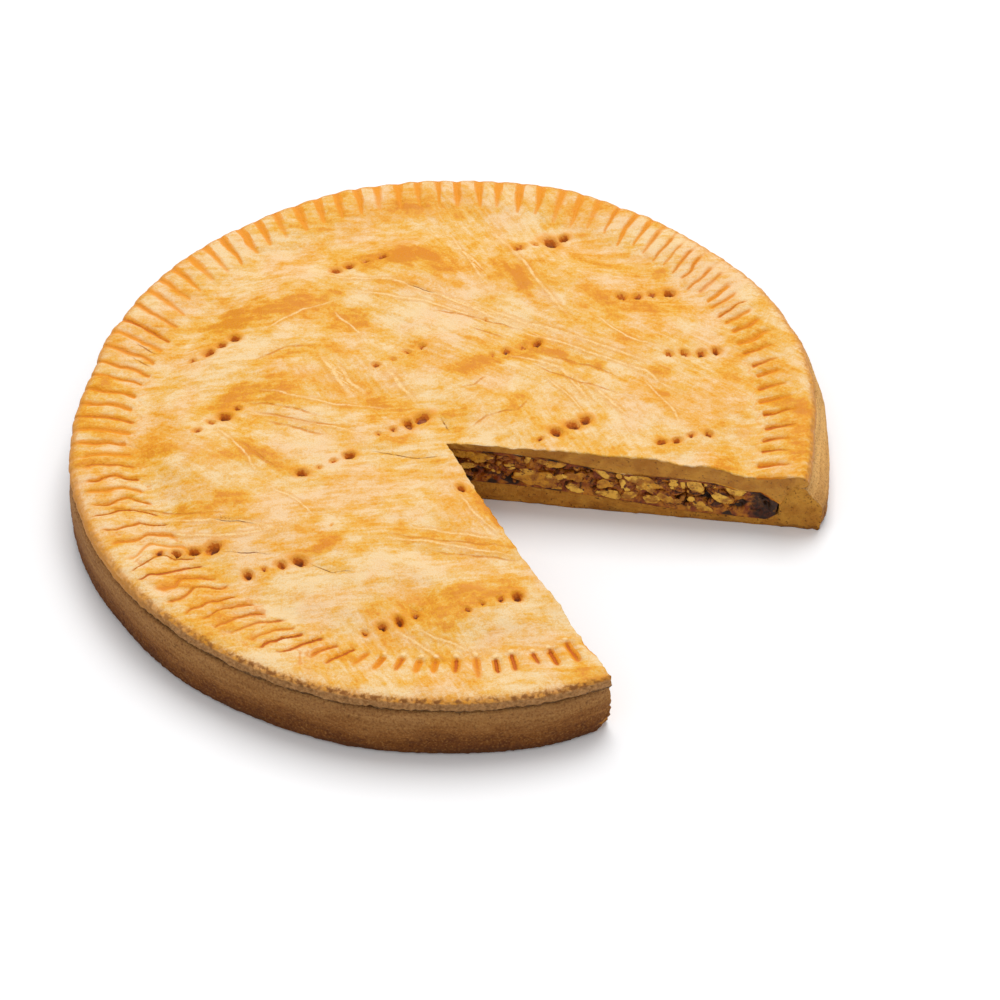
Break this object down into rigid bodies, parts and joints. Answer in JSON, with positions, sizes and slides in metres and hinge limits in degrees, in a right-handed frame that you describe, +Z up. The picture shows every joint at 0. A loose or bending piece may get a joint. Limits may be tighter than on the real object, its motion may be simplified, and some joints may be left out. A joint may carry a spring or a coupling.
{
  "type": "walnut tart with a slice cut out",
  "caption": "Round covered tart of shortcrust and walnut filling, fork-pressed rim and pricked lid, with one wedge cut out so that the filling shows.",
  "frame": {"origin": "on the surface that the tart rests on, under the middle of its round outline", "axes": "+Z up out of the lid, +Y away from the cut side, +X along the tart's width with the cut wedge between +X and -Y"},
  "size_m": [0.237, 0.2401, 0.0244],
  "materials": {
    "baked_shell": "dry sandy shortcrust, browner and more pored towards the base",
    "walnut_caramel": "walnut pieces in dark caramel, slightly glossy",
    "glazed_lid": "egg-washed golden shortcrust with a soft sheen and darker fork marks"
  },
  "bodies": {
    "root": {"shell_crust": "baked_shell", "nut_filling": "walnut_caramel", "lid_crust": "glazed_lid"}
  },
  "joints": []
}
